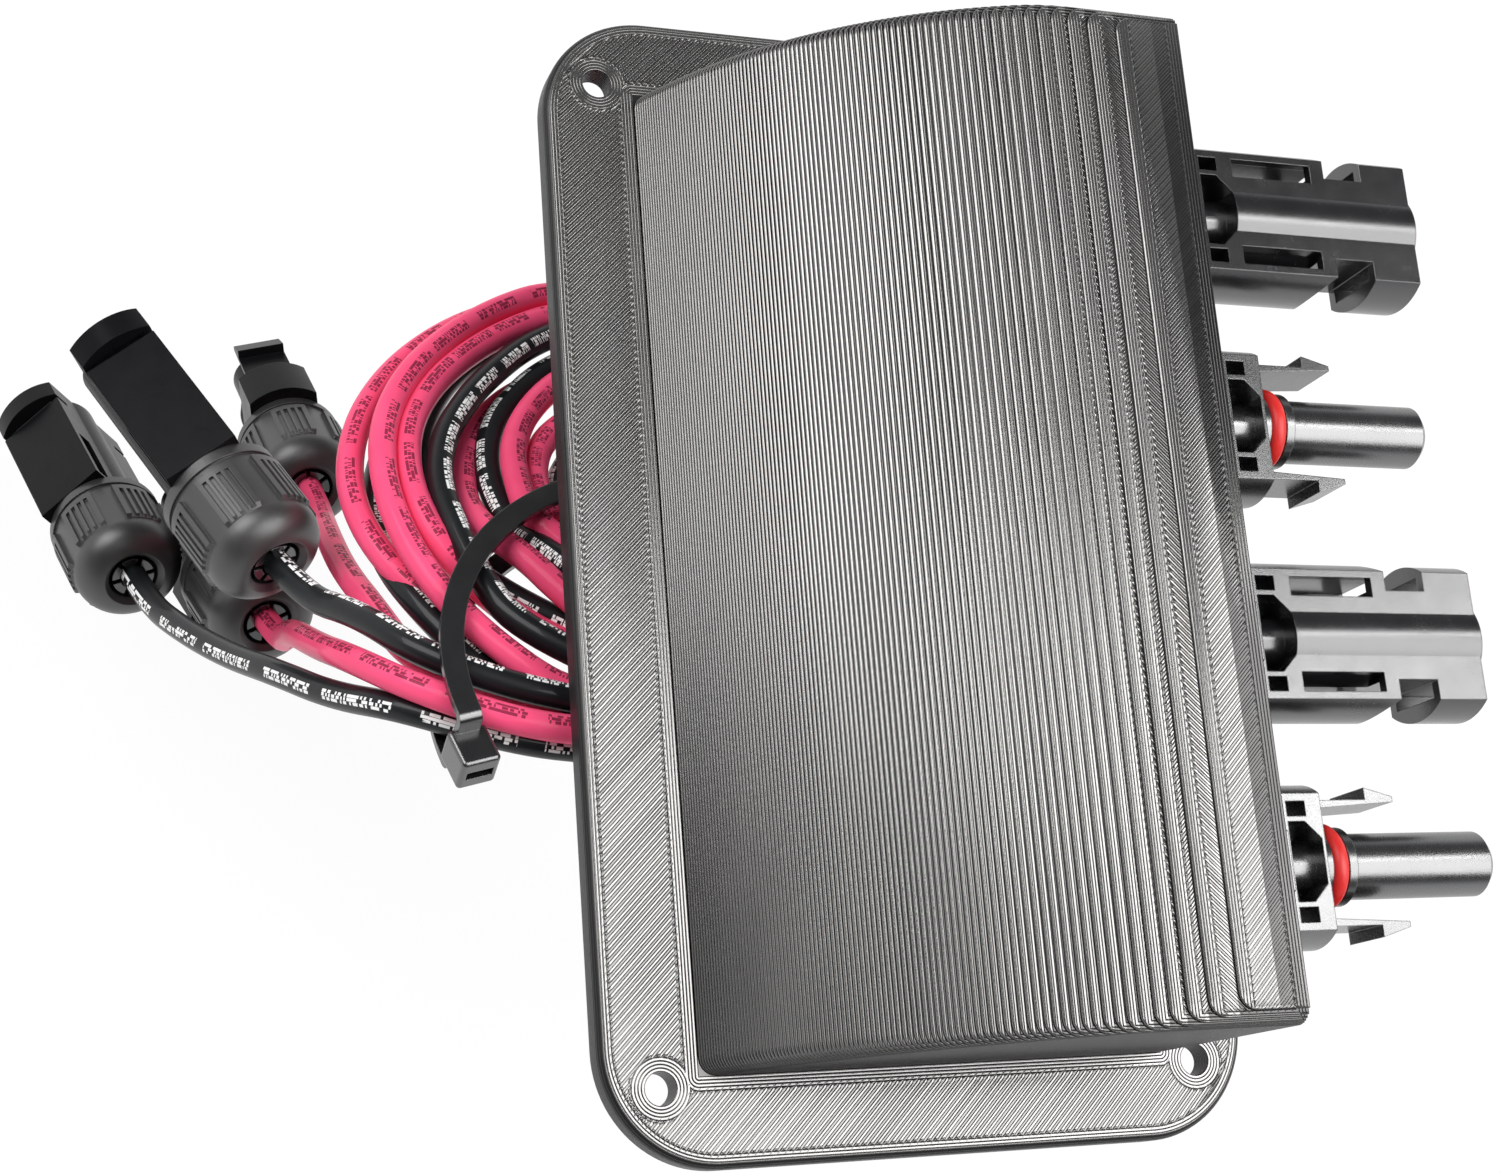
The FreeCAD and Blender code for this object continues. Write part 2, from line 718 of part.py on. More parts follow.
# Free bends of each tail as X, Y, Z, then its places under the strap as coil_place takes them
tail_bends = {
    "minus_outer": [(-91.5, 7.5, -66.5), (-86.0, 0.0, -53.5), (-81.0, -6.0, -39.5), (-75.0, -12.5, -27.0)],
    "minus_inner": [(-72.0, -1.5, -22.0)],
    "plus_outer": [(-77.0, 4.5, -53.5), (-75.0, -2.5, -37.5), (-74.0, -8.0, -21.5)],
    "plus_inner": [(-68.5, 29.0, -71.0), (-70.0, 21.0, -56.5), (-70.0, 11.0, -43.0), (-68.0, 1.0, -29.5)],
}
tail_lanes = {
    "minus_outer": [(-45.0, -38.3, -2.2), (-29.5, -44.3, -2.2), (-16.0, -46.0, -2.2)],
    "minus_inner": [(-42.5, -32.3, 2.2), (-29.0, -38.4, 2.2), (-16.0, -41.3, 2.2)],
    "plus_outer": [(-43.6, -38.6, 2.3), (-29.5, -44.6, 2.2), (-16.0, -46.3, 2.2)],
    "plus_inner": [(-42.8, -29.8, -2.2), (-28.8, -38.6, -2.2), (-15.5, -41.6, -2.2)],
}


def tail_points(name):
    """Route of a lead from its end connector's contact to the coil."""
    place, axis, _ = end_places[name]
    along = Vector(axis).normalize()
    inside = [place + along * end_crimp_x, place - along * tail_straight]
    free = [Vector(*p) for p in tail_bends[name]]
    return inside + free + [coil_place(*p) for p in tail_lanes[name]]


# Strap

def arc_block(half_width, half_height, start, end):
    """Block bent along the strap's arc between two angles, in the coil's middle plane."""
    corners = [(-half_width, -half_height), (half_width, -half_height),
               (half_width, half_height), (-half_width, half_height)]
    points = [Vector(tie_arc_radius + across, 0, up) for across, up in corners]
    face = Part.Face(Part.makePolygon(points + points[:1]))
    face.rotate(Vector(0, 0, 0), Z_AXIS, start)
    block = face.revolve(Vector(0, 0, 0), Z_AXIS, end - start)
    return block.translated(Vector(tie_arc_center[0], tie_arc_center[1], 0))


def end_edges(block):
    """Straight edges across the strap at both ends of a bent block."""
    return [edge for edge in block.Edges if edge.Curve.TypeId == "Part::GeomLine"
            and abs(edge.tangentAt(edge.FirstParameter).z) < same_place]


def make_tie():
    """Closed strap that arches over and under the leads, with its locking head."""
    inner_height = coil_thickness / 2 + tie_clearance
    wall_angle = math.degrees(tie_thickness / tie_arc_radius)
    loop = arc_block(tie_width / 2, inner_height + tie_thickness, tie_arc_start, tie_arc_end)
    loop = loop.makeFillet(tie_outer_round, end_edges(loop))
    hole = arc_block(tie_width, inner_height, tie_arc_start + wall_angle, tie_arc_end - wall_angle)
    hole = hole.makeFillet(tie_inner_round, end_edges(hole))
    half = tie_head_width / 2
    tall = tie_head_height / 2
    head = box(-half, half, -join_depth, tie_head_length, -tall, tall)
    head = head.makeFillet(tie_head_edge, head.Edges)
    slot_y = tie_slot_width / 2
    slot_z = tie_slot_height / 2
    head = head.cut(box(-slot_y, slot_y, tie_slot_floor, tie_head_length, -slot_z, slot_z))
    head.translate(Vector(tie_arc_radius, 0, 0))
    head.rotate(Vector(0, 0, 0), Z_AXIS, tie_arc_end)
    head.translate(Vector(tie_arc_center[0], tie_arc_center[1], 0))
    strap = clean(loop.cut(hole).fuse(head))
    strap.Placement = Placement(coil_center, Rotation(X_AXIS, -coil_tilt))
    return strap


def export(shape, node):
    """One STEP file for one piece."""
    shape.exportStep("parts/" + node + ".step")
    print(node, "solids", len(shape.Solids), "valid", shape.isValid(), "volume", round(shape.Volume, 1))


def main():
    os.makedirs("parts", exist_ok=True)
    export(make_housing(), "housing")
    for row, kind in enumerate(connector_kinds):
        for piece, shape in face_connector(kind).items():
            export(place_on_face(shape, row), "face_%s_%d_%s" % (kind, row + 1, piece))
        export(lead_tube("inner", inner_points(row)), "lead_%s_inner_run" % lead_of_row[row])
    for name, kind in end_kinds.items():
        placement = end_placement(name)
        for piece, shape in end_connector(kind).items():
            shape.Placement = placement.multiply(shape.Placement)
            export(shape, "end_%s_%s" % (name, piece))
        export(lead_tube(name, tail_points(name)), "lead_%s_tail" % name)
    export(make_coil(), "lead_coil")
    export(make_tie(), "cable_tie")


main()
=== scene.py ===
import math

import bmesh
import bpy
from mathutils import Matrix, Vector


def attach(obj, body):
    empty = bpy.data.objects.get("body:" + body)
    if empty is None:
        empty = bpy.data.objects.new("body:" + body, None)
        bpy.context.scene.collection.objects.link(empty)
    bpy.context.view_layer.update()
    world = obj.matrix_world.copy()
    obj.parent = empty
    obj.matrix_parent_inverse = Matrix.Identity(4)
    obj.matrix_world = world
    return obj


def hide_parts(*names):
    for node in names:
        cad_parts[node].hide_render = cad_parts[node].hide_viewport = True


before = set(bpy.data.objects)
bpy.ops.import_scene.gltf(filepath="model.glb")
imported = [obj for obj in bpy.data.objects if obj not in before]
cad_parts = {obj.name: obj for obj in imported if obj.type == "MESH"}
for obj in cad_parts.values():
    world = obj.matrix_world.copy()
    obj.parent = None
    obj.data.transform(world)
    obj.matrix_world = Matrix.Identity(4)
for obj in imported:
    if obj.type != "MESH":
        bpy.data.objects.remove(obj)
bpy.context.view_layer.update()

# Metres in a millimetre, and the millimetres within which two places count as level
MM = 0.001
NEAR = 0.01

# Housing sizes, in millimetres: halves from the middle, and radii of rounds and holes
FLANGE_HALF = (47.7, 82.7)
FLANGE_THICKNESS = 4.0
FLANGE_CORNER = 16.0
FLANGE_ROUND = 1.2
HOOD_HALF = (34.2, 70.7)
HOOD_HEIGHT = 39.1
HOOD_WALL = 3.0
HOOD_CORNER = 2.4
HOOD_END_ROUND = 3.0
HOOD_SINK = 0.3
SCREW_AT = (39.5, 72.0)
SCREW_HOLE = 2.2
THREAD_HOLE = 6.15
ROW_Y = (48.0, 16.0, -16.0, -48.0)
ROW_Z = 22.2

# Ellipse that the hood's curved side follows: its middle, its half axis along X and its half height
CREST_X = 30.0
CREST_HALF_AXIS = 70.0
HOOD_TOP = FLANGE_THICKNESS + HOOD_HEIGHT
CREST_RISE = HOOD_HEIGHT / (1 - math.sqrt(1 - ((CREST_X + HOOD_HALF[0]) / CREST_HALF_AXIS) ** 2))
CREST_CENTER_Z = HOOD_TOP - CREST_RISE

# Reach of the cuts: heights for a screw hole, distances from the face for a thread, foot of the hollow
SCREW_CUT = (-1.0, 6.0)
THREAD_CUT = (-8.0, 2.0)
HOLLOW_FOOT = -1.0

# Divisions of rounded forms
ROD_SEGMENTS = 48
HOLLOW_STEPS = 30
CORNER_SEGMENTS = 24
ROUND_SEGMENTS = 4
HOOD_CORNER_SEGMENTS = 5

# Angles over which a smooth-shaded edge stays sharp, in degrees
HOOD_SHARP = 50
FLANGE_SHARP = 40

# Printed lines: layer height, widths of an edge line and a fill line, and edge lines round each top
LAYER = 0.43
BEAD = 0.46
FILL = 0.37
RIM_LINES = 4

# Side of one printed layer: share of its height, and how far it swells, as a share of BEAD_DRAW
BEAD_DRAW = 0.11
BEAD_STEPS = ((0.14, 0.65), (0.21, 0.35), (0.3, 0.0), (0.21, -0.35), (0.14, -0.65))

# Where the hood's print starts, over the flange's top, and where its upright face starts
HOOD_FROM = FLANGE_THICKNESS + 0.2
FACE_FROM = HOOD_HALF[0] - 0.05

# How far up a surface faces where it starts and ends counting as flat, and as no longer upright;
# and how far sideways where it starts and ends counting as an end wall
FLAT_FACING = (0.9, 0.98)
UPRIGHT_FACING = (0.88, 0.985)
END_FACING = (0.45, 0.75)

# How far the lines stray: fill lines, in lines, then edge lines and layers as shares of that
STRAY_SCALE = 0.05
FILL_STRAY = 0.25
EDGE_STRAY = 0.5
LAYER_STRAY = 0.4

# Heights in the print, as shares of the bump: a fill line and its spread, what every second one adds,
# the seam and the grain; then the bump in millimetres
FILL_RISE = 0.75
FILL_SPREAD = 0.5
RAISED_LINE = 0.55
SEAM_RISE = 0.55
GRAIN_RISE = 0.12
GRAIN_SCALE = 2.0
PRINT_BUMP = 0.08

# Zigzag seam between edge lines and fill lines: its wave, soft edge and width in lines, and where its turns
# get painted shade
SEAM_WAVE = 1.4
SEAM_EDGE = 0.12
SEAM_WIDTH = 0.75
SEAM_TURN = 0.27

# Tones of the print, of its painted shade in grooves and recesses and of its walls painted darker as shade,
# and the long soft patches over it
PRINT_TONES = ((0.24, 0.236, 0.231), (0.32, 0.315, 0.308))
PAINTED_SHADE_TONE = (0.03, 0.03, 0.03)
WALL_SHADE_TONE = (0.014, 0.014, 0.014)
PATCH_SCALE = 0.08
PATCH_ALONG = 0.375

# How dark the painted shade is: in all grooves, on a low fill line, its sides, edge grooves and the seam's
# turns;
# then the width of the painted shadow under a riser, in millimetres, and its span in the recess of a layer
GROOVE_SHADE = 0.8
LOW_LINE_SHADE = 0.45
LINE_SIDE_SHADE = 0.4
EDGE_GROOVE_SHADE = 0.9
SEAM_SHADE = 0.9
RISER_SHADE = 0.26
RECESS_SHADE = (0.15, 0.6)

# Gloss of the print: metal sheen, gloss, and roughness with what each feature adds to it
PRINT_SHEEN = 0.9
PRINT_GLOSS = 0.25
PRINT_ROUGH = 0.14
GRAIN_ROUGH = 0.06
PATCH_ROUGH = 0.08
LINE_ROUGH = 0.08
RAISED_ROUGH = -0.12
WALL_ROUGH = 0.12

# Detail of plain and rich noise, and strength of a soft bump
PLAIN_DETAIL = 2.0
RICH_DETAIL = 3.0
SOFT_BUMP = 0.5

# Moulded finishes: darkest and palest tones, roughness, index of refraction and gloss
MOULDED = {
    "connector_plastic": ((0.006, 0.006, 0.007), (0.011, 0.011, 0.012), 0.24, 1.62, 1.0),
    "plug_plastic": ((0.006, 0.006, 0.007), (0.011, 0.011, 0.012), 0.26, 1.85, 1.0),
    "end_shell_plastic": ((0.004, 0.004, 0.005), (0.009, 0.009, 0.010), 0.3, 1.35, 0.15),
    "nut_plastic": ((0.02, 0.019, 0.019), (0.034, 0.032, 0.031), 0.42, 1.6, 0.8),
    "tie_nylon": ((0.006, 0.006, 0.007), (0.012, 0.012, 0.013), 0.22, 1.7, 1.0),
    "red_rubber": ((0.62, 0.015, 0.015), (0.75, 0.03, 0.025), 0.4, 1.5, 0.5),
    "black_rubber": ((0.012, 0.012, 0.012), (0.02, 0.02, 0.02), 0.6, 1.5, 0.5),
}

# Radius of their rounded edges in millimetres, then their fine texture and broad flow marks
EDGE_ROUND = 0.22
EDGE_SAMPLES = 4
FINE_SCALE = 6.0
FINE_ROUGH = 0.12
FINE_BUMP = 0.02
FLOW_SCALE = 0.25
FLOW_ROUGH = 0.1

# Tinned metal: tones, turning lines in a millimetre, patches, roughness and bump
METAL_TONES = ((0.55, 0.55, 0.54), (0.8, 0.8, 0.79))
METAL_LINES = 8.0
METAL_PATCHES = 0.8
METAL_ROUGH = 0.2
METAL_BUMP = 0.01

# Lead finishes: darkest and palest tones, tone of the marks, coat and index of refraction
LEAD_TONES = {
    "pink": ((0.95, 0.075, 0.19), (0.98, 0.11, 0.25), (0.3, 0.03, 0.07), 0.22, 1.12),
    "black": ((0.006, 0.007, 0.008), (0.012, 0.013, 0.015), (0.95, 0.95, 0.94), 0.3, 1.3),
}

# Leads in millimetres, divisions of their round and of each length of curve, then gloss and ripples
LEAD_DIAMETER = 4.2
LEAD_GIRTH = 13.2
LEAD_DIVISIONS = (5, 8)
LEAD_ORDER = 3
LEAD_FLOW = 0.15
LEAD_ROUGH = 0.36
COAT_ROUGH = 0.05
COAT_IOR = 1.4
RIPPLE_SCALE = (0.12, 5.0)
RIPPLE_ROUGH = 0.1
RIPPLE_BUMP = 0.15

# Marks on the leads: length of one run of them, the share of it that they fill and how that varies,
# size of one cell, half the rows, gap between them, share of cells left bare and where they are worn
MARK_RUN = 13.0
MARK_FILL = 0.68
MARK_SPREAD = 0.25
MARK_CELL = (0.27, 0.55)
MARK_ROWS = 1.5
MARK_GAP = 0.06
MARK_BARE = 0.36
MARK_ROUGH = 0.2
WORN_SCALE = 0.3
WORN_SPAN = (0.26, 0.36)

# Third coordinates that keep noise patterns apart
LINE_SEED = 3.0
RIPPLE_SEED = 4.0
WORN_SEED = 9.0


# Shader nodes written as expressions

class Channel:
    """Output socket of a node. Arithmetic on it adds Math nodes."""

    def __init__(self, tree, socket):
        self.tree = tree
        self.socket = socket

    def math(self, operation, *others):
        return self.tree.node("ShaderNodeMath", {"operation": operation}, self, *others)

    def __add__(self, other):
        return self.math("ADD", other)

    __radd__ = __add__

    def __sub__(self, other):
        return self.math("SUBTRACT", other)

    def __rsub__(self, other):
        return self.tree.node("ShaderNodeMath", {"operation": "SUBTRACT"}, other, self)

    def __mul__(self, other):
        return self.math("MULTIPLY", other)

    __rmul__ = __mul__

    def __truediv__(self, other):
        return self.math("DIVIDE", other)

    def __abs__(self):
        return self.math("ABSOLUTE")

    def __gt__(self, other):
        return self.math("GREATER_THAN", other)

    def __lt__(self, other):
        return self.math("LESS_THAN", other)

    def least(self, other):
        return self.math("MINIMUM", other)

    def most(self, other):
        return self.math("MAXIMUM", other)

    def floor(self):
        return self.math("FLOOR")

    def part(self):
        return self.math("FRACT")

    def from_middle(self):
        """0 in the middle of each whole step, rising to 1 at its ends."""
        middle = self.part() * 2.0 - 1.0
        return middle * middle

    def bead(self):
        """Ridge with a broad flat back, from 0 to 1 and back over each whole step."""
        square = self.from_middle()
        return 1.0 - square * square

    def ramp(self, low, high):
        """0 below low, 1 above high, smooth between."""
        return self.tree.node("ShaderNodeMapRange", {"interpolation_type": "SMOOTHSTEP"}, self, low, high)

    def out(self, name):
        return Channel(self.tree, self.socket.node.outputs[name])


def length(a, b):
    """Straight distance over two offsets at right angles."""
    return (a * a + b * b).math("SQRT")


class Tree:
    """Node tree of a material or the world, with one method that adds any node."""

    def __init__(self, owner):
        owner.use_nodes = True
        self.nodes = owner.node_tree.nodes
        self.links = owner.node_tree.links

    def link(self, value, socket):
        if isinstance(value, Channel):
            self.links.new(value.socket, socket)
        else:
            socket.default_value = value

    def node(self, kind, settings, *values, **named):
        """New node: its settings first, then the values or links of its sockets in order or by name."""
        node = self.nodes.new(kind)
        for key, value in settings.items():
            setattr(node, key, value)
        for index, value in enumerate(values):
            if value is not None:
                self.link(value, node.inputs[index])
        for key, value in named.items():
            self.link(value, node.inputs[key.replace("_", " ")])
        return Channel(self, node.outputs[0])


class Finish(Tree):
    """Material made from nodes."""

    def __init__(self, name):
        self.material = bpy.data.materials.new(name)
        super().__init__(self.material)
        self.shader = self.nodes["Principled BSDF"]

    def place(self):
        """Object coordinates in millimetres."""
        spot = self.node("ShaderNodeTexCoord", {}).out("Object")
        split = self.node("ShaderNodeSeparateXYZ", {}, spot)
        return [split.out(axis) / MM for axis in "XYZ"]

    def facing(self):
        """How far the surface faces along each axis, from -1 to 1."""
        normal = self.node("ShaderNodeTexCoord", {}).out("Normal")
        split = self.node("ShaderNodeSeparateXYZ", {}, normal)
        return [split.out(axis) for axis in "XYZ"]

    def vector(self, x, y, z):
        return self.node("ShaderNodeCombineXYZ", {}, x, y, z)

    def noise(self, where, scale, detail=PLAIN_DETAIL):
        return self.node("ShaderNodeTexNoise", {}, Vector=where, Scale=scale, Detail=detail)

    def white(self, where):
        return self.node("ShaderNodeTexWhiteNoise", {"noise_dimensions": "3D"}, Vector=where)

    def mix(self, factor, a, b):
        """Plain mix of two values."""
        return self.node("ShaderNodeMix", {"data_type": "FLOAT"}, factor, None, a, b)

    def shade(self, factor, a, b):
        """Mix of two colours."""
        a, b = [value if isinstance(value, Channel) else (*value, 1.0) for value in (a, b)]
        skipped = [None] * 5
        mixed = self.node("ShaderNodeMix", {"data_type": "RGBA"}, factor, *skipped, a, b)
        return Channel(self, mixed.socket.node.outputs[2])

    def bump(self, height, distance, strength=1.0, over=None):
        """Bump of a height in millimetres, over the surface's own normal or another one."""
        normal = self.node("ShaderNodeBump", {}, Strength=strength, Distance=distance * MM, Height=height)
        if over:
            self.link(over, normal.socket.node.inputs["Normal"])
        return normal

    def set(self, **sockets):
        for key, value in sockets.items():
            if isinstance(value, tuple):
                value = (*value, 1.0)
            self.link(value, self.shader.inputs[key.replace("_", " ")])
        return self.material

    def glow_where_seen(self, strength, share):
        """Shows white to the camera and in gloss, over what the surface is otherwise."""
        path = self.node("ShaderNodeLightPath", {})
        in_gloss = path.out("Is Glossy Ray").most(path.out("Is Transmission Ray"))
        seen = path.out("Is Camera Ray").most(in_gloss)
        white = self.node("ShaderNodeEmission", {}, (1.0, 1.0, 1.0, 1.0), strength)
        plain = Channel(self, self.shader.outputs[0])
        shown = self.node("ShaderNodeMixShader", {}, seen * share, plain, white)
        self.link(shown, self.nodes["Material Output"].inputs["Surface"])


def print_finish():
    """Black printed plastic: lines along every edge, slanted fill lines inside them, layers up the walls."""
    finish = Finish("printed_plastic")
    x, y, z = finish.place()
    _, side, up = finish.facing()
    on_hood = z > HOOD_FROM
    height_over_flange = (z - FLANGE_THICKNESS) / LAYER
    spot = finish.vector(x, y, z)
    stray = (finish.noise(spot, STRAY_SCALE) - 0.5) * FILL_STRAY

    # Distance in from the nearest edge of the flange's top, or of the hood's step
    corner_x = (abs(x) - (FLANGE_HALF[0] - FLANGE_CORNER)).most(0.0)
    corner_y = (abs(y) - (FLANGE_HALF[1] - FLANGE_CORNER)).most(0.0)
    from_rim = FLANGE_CORNER - length(corner_x, corner_y)
    outside_x = (abs(x) - HOOD_HALF[0]).most(0.0)
    outside_y = (abs(y) - HOOD_HALF[1]).most(0.0)
    from_hood = length(outside_x, outside_y)
    from_hole = length(abs(x) - SCREW_AT[0], abs(y) - SCREW_AT[1]) - SCREW_HOLE
    on_flange = from_rim.least(from_hood).least(from_hole)

    def crest_near(offset):
        """X of the hood's curved side a little above or below the point."""
        level = ((z + (offset - CREST_CENTER_Z)) / CREST_RISE).least(1.0)
        return CREST_X - (1.0 - level * level).most(0.0).math("SQRT") * CREST_HALF_AXIS

    crest = crest_near(-LAYER / 2)
    to_riser = crest_near(LAYER / 2) - x
    from_end = HOOD_HALF[1] - abs(y)
    on_step = (x - crest).least(from_end).least(HOOD_HALF[0] - x)
    inward = finish.mix(on_hood, on_flange, on_step)

    # Fill lines, which slant one way and the other on the hood's layers in turn
    layer = (height_over_flange + 0.5).floor()
    turn = (layer * 0.5).part() * 4.0 - 1.0
    slant = finish.mix(on_hood, 1.0, turn)
    across = (x - y * slant) * (math.sqrt(0.5) / FILL) + stray
    weave = finish.white(finish.vector(across.floor(), layer, LINE_SEED)) - 0.5
    in_pair = (across * 0.5).part()
    paired = (in_pair > 0.5) * RAISED_LINE
    fill = across.bead() * (FILL_RISE + weave * FILL_SPREAD) + paired

    # Lines along the edges, and the zigzag seam where the fill lines turn back
    rings = inward / BEAD + stray * EDGE_STRAY
    zigzag = abs(in_pair - 0.5)
    seam_at = RIM_LINES + zigzag * SEAM_WAVE
    inside = (rings - seam_at).ramp(-SEAM_EDGE, SEAM_EDGE)
    seam = 1.0 - abs(rings - seam_at).ramp(0.0, SEAM_WIDTH)
    top_height = finish.mix(inside, rings.bead(), fill) + seam * SEAM_RISE

    # Layers up the walls, where the hood's stair doesn't model them
    unmodelled = 1.0 - on_hood * (x < FACE_FROM)
    wall_height = (height_over_flange + stray * LAYER_STRAY).bead() * unmodelled
    flat = up.ramp(*FLAT_FACING)
    height = finish.mix(flat, wall_height, top_height)
    grain = finish.noise(spot, GRAIN_SCALE)
    normal = finish.bump(height + grain * GRAIN_RISE, PRINT_BUMP)

    patch = finish.noise(finish.vector(x, y * PATCH_ALONG, z), PATCH_SCALE, RICH_DETAIL)
    along_fill = (weave * LINE_ROUGH + paired * RAISED_ROUGH) * flat * inside
    rough = PRINT_ROUGH + grain * GRAIN_ROUGH + patch * PATCH_ROUGH + along_fill
    # Upright walls and end walls: painted darker as shade, without the metal sheen, and rougher
    shaded_walls = (1.0 - on_hood) * (1.0 - up.ramp(*UPRIGHT_FACING))
    shaded_walls = shaded_walls.most(abs(side).ramp(*END_FACING))

    # Painted shade: darker in the grooves, along the seam, under each riser and in the recess between layers
    low_line_painted_shade = (1.0 - paired / RAISED_LINE) * LOW_LINE_SHADE + across.from_middle() * LINE_SIDE_SHADE
    groove_painted_shade = finish.mix(inside, rings.from_middle() * EDGE_GROOVE_SHADE, low_line_painted_shade)
    groove_painted_shade = groove_painted_shade.most(seam * (zigzag > SEAM_TURN) * SEAM_SHADE)
    riser_painted_shadow = (1.0 - to_riser.ramp(0.0, RISER_SHADE)) * on_hood
    recess_painted_shade = (1.0 - height_over_flange.part().ramp(*RECESS_SHADE)) * on_hood
    painted_shade = finish.mix(flat, recess_painted_shade, groove_painted_shade.most(riser_painted_shadow))
    tone = finish.shade(patch, *PRINT_TONES)
    tone = finish.shade(painted_shade * GROOVE_SHADE, tone, PAINTED_SHADE_TONE)
    # Painted shade on the walls
    tone = finish.shade(shaded_walls, tone, WALL_SHADE_TONE)
    sheen = (1.0 - shaded_walls) * PRINT_SHEEN
    rough = rough + shaded_walls * WALL_ROUGH
    return finish.set(Base_Color=tone, Metallic=sheen, Roughness=rough, Specular_IOR_Level=PRINT_GLOSS,
                      Normal=normal)


def moulded_finish(name, low, high, rough, ior, gloss):
    """Moulded material with a fine texture, soft flow marks and slightly rounded edges."""
    finish = Finish(name)
    where = finish.vector(*finish.place())
    fine = finish.noise(where, FINE_SCALE, RICH_DETAIL)
    flow = finish.noise(where, FLOW_SCALE, RICH_DETAIL)
    rough = rough + (fine - 0.5) * FINE_ROUGH + (flow - 0.5) * FLOW_ROUGH
    edges = finish.node("ShaderNodeBevel", {"samples": EDGE_SAMPLES}, EDGE_ROUND * MM)
    normal = finish.bump(fine, FINE_BUMP, SOFT_BUMP, edges)
    tone = finish.shade(flow, low, high)
    return finish.set(Base_Color=tone, Roughness=rough, IOR=ior, Specular_IOR_Level=gloss, Normal=normal)


def metal_finish():
    """Tinned copper with fine turning lines."""
    finish = Finish("tinned_metal")
    x, y, z = finish.place()
    lines = finish.noise(finish.vector(x * METAL_LINES, y, z), 1.0, RICH_DETAIL)
    patch = finish.noise(finish.vector(x, y, z), METAL_PATCHES)
    tone = finish.shade(patch, *METAL_TONES)
    rough = (lines + 1.0) * METAL_ROUGH
    return finish.set(Base_Color=tone, Metallic=1.0, Roughness=rough, Normal=finish.bump(lines, METAL_BUMP))


def lead_finish(name, low, high, ink, coat, ior, run):
    """Clear nylon over coloured insulation, with rows of fine broken marks along it."""
    finish = Finish(name)
    uv = finish.node("ShaderNodeTexCoord", {}).out("UV")
    split = finish.node("ShaderNodeSeparateXYZ", {}, uv)
    along = split.out("X") * run
    turn = split.out("Y")
    flow = finish.noise(finish.vector(along, turn * LEAD_GIRTH, 0.0), LEAD_FLOW, RICH_DETAIL)
    ripple_at = finish.vector(along * RIPPLE_SCALE[0], turn * RIPPLE_SCALE[1], RIPPLE_SEED)
    ripple = finish.noise(ripple_at, 1.0)

    # Marks on two opposite sides, in runs of cells with a bare length between them
    across = ((turn * 2.0).part() - 0.5) * (LEAD_GIRTH / 2)
    in_run = along / MARK_RUN
    mark_run = in_run.floor()
    run_ends = finish.white(finish.vector(mark_run, 1.0, 0.0)) * MARK_SPREAD + MARK_FILL
    column = along / MARK_CELL[0]
    row = across / MARK_CELL[1]
    pick = finish.white(finish.vector(column.floor(), (row + 0.5).floor(), mark_run))
    worn = finish.noise(finish.vector(along * WORN_SCALE, across, WORN_SEED), 1.0)
    in_rows = (abs(row) < MARK_ROWS) * (abs(row.part() - 0.5) > MARK_GAP)
    mark = (pick > MARK_BARE) * in_rows * (in_run.part() < run_ends) * worn.ramp(*WORN_SPAN)

    tone = finish.shade(mark, finish.shade(flow, low, high), ink)
    rough = LEAD_ROUGH + ripple * RIPPLE_ROUGH + mark * MARK_ROUGH
    normal = finish.bump(ripple, RIPPLE_BUMP, SOFT_BUMP)
    return finish.set(Base_Color=tone, Roughness=rough, IOR=ior, Coat_Weight=coat, Coat_Roughness=COAT_ROUGH,
                      Coat_IOR=COAT_IOR, Normal=normal)


# Mesh helpers

def keep_mesh(bm, name, material, smooth_angle=None):
    """Object at the origin from a bmesh in millimetres."""
    bmesh.ops.scale(bm, vec=(MM, MM, MM), verts=bm.verts)
    bmesh.ops.recalc_face_normals(bm, faces=bm.faces)
    mesh = bpy.data.meshes.new(name)
    bm.to_mesh(mesh)
    bm.free()
    piece = bpy.data.objects.new(name, mesh)
    bpy.context.collection.objects.link(piece)
    if material:
        mesh.materials.append(material)
    if smooth_angle is not None:
        mesh.shade_smooth()
        mesh.set_sharp_from_angle(angle=math.radians(smooth_angle))
    return piece


def cut_away(piece, cutters):
    """Cuts other pieces out of a piece, and deletes them."""
    for cutter in cutters:
        step = piece.modifiers.new("cut", "BOOLEAN")
        step.operation = "DIFFERENCE"
        step.solver = "EXACT"
        step.object = cutter
    bpy.context.view_layer.update()
    graph = bpy.context.evaluated_depsgraph_get()
    mesh = bpy.data.meshes.new_from_object(piece.evaluated_get(graph))
    old = piece.data
    piece.modifiers.clear()
    piece.data = mesh
    mesh.name = piece.name
    bpy.data.meshes.remove(old)
    for cutter in cutters:
        mesh = cutter.data
        bpy.data.objects.remove(cutter)
        bpy.data.meshes.remove(mesh)


def rod(name, radius, start, end):
    """Round bar between two points, for cutting."""
    bm = bmesh.new()
    run = Vector(end) - Vector(start)
    bmesh.ops.create_cone(
        bm, cap_ends=True, segments=ROD_SEGMENTS, radius1=radius, radius2=radius, depth=run.length)
    turn = run.to_track_quat("Z", "Y").to_matrix().to_4x4()
    middle = (Vector(start) + Vector(end)) / 2
    bmesh.ops.transform(bm, matrix=Matrix.Translation(middle) @ turn, verts=bm.verts)
    return keep_mesh(bm, name, None)


# Housing

def crest_at(z, inset):
    """X of the hood's curved side at a height."""
    level = min((z - CREST_CENTER_Z) / (CREST_RISE - inset), 1.0)
    return CREST_X - (CREST_HALF_AXIS - inset) * math.sqrt(1 - level ** 2)


def end_round_at(z, inset):
    """How far the hood's ends draw in near its top."""
    down = HOOD_TOP - inset - z
    if down >= HOOD_END_ROUND:
        return 0.0
    return HOOD_END_ROUND - math.sqrt(HOOD_END_ROUND ** 2 - (HOOD_END_ROUND - down) ** 2)


